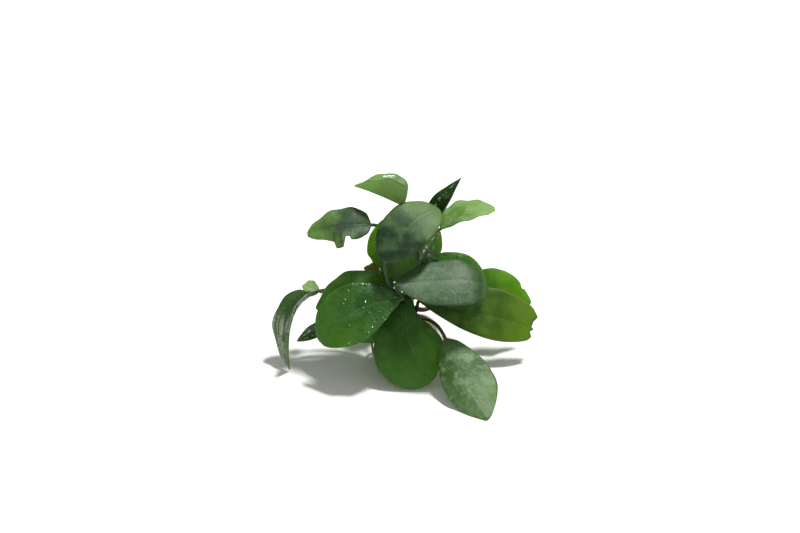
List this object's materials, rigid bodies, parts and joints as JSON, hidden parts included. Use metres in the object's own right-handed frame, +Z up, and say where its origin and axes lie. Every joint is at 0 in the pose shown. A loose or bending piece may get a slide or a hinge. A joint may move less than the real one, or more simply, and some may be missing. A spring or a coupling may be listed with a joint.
{
  "type": "anubias plant on a stone",
  "caption": "Small broad-leaved water plant whose creeping rhizome and roots grip a rounded stone with a flat underside.",
  "frame": {"origin": "centre of the stone's flat underside, on the surface that the plant stands on", "axes": "+Z up; +X along the longest spread of the leaves; -Y towards the front, where the largest leaves hang"},
  "size_m": [0.1161, 0.0894, 0.08],
  "materials": {
    "leaf": "wet glossy leaf, dark green with yellow-green margins",
    "leaf_pale": "young or thin leaf, pale green",
    "rhizome": "ringed green-brown stem",
    "root": "matt buff-brown root",
    "stone": "rough grey-brown stone"
  },
  "bodies": {
    "root": {"leaf_top_left": "leaf_pale", "leaf_upper_left": "leaf", "leaf_top_front": "leaf", "leaf_young_centre": "leaf_pale", "leaf_edge_left": "leaf_pale", "leaf_amber_small": "leaf_pale", "leaf_left_back": "leaf", "leaf_left_front": "leaf", "leaf_centre_front": "leaf", "leaf_right_floor": "leaf", "leaf_right_sheen": "leaf", "leaf_right_arch": "leaf", "leaf_right_back": "leaf", "leaf_right_torn": "leaf", "leaf_spike": "leaf", "leaf_top_right": "leaf_pale", "leaf_dark_small": "leaf", "leaf_far_left": "leaf", "leaf_small_pale": "leaf_pale", "leaf_dark_point": "leaf", "leaf_shaded_front": "leaf", "leaf_back_right": "leaf", "leaf_back_left": "leaf", "rhizome": "rhizome", "root_left": "root", "root_left_front": "root", "root_front": "root", "root_right_front": "root", "root_right": "root", "root_right_back": "root", "root_back": "root", "root_left_back": "root", "stone": "stone"}
  },
  "joints": []
}
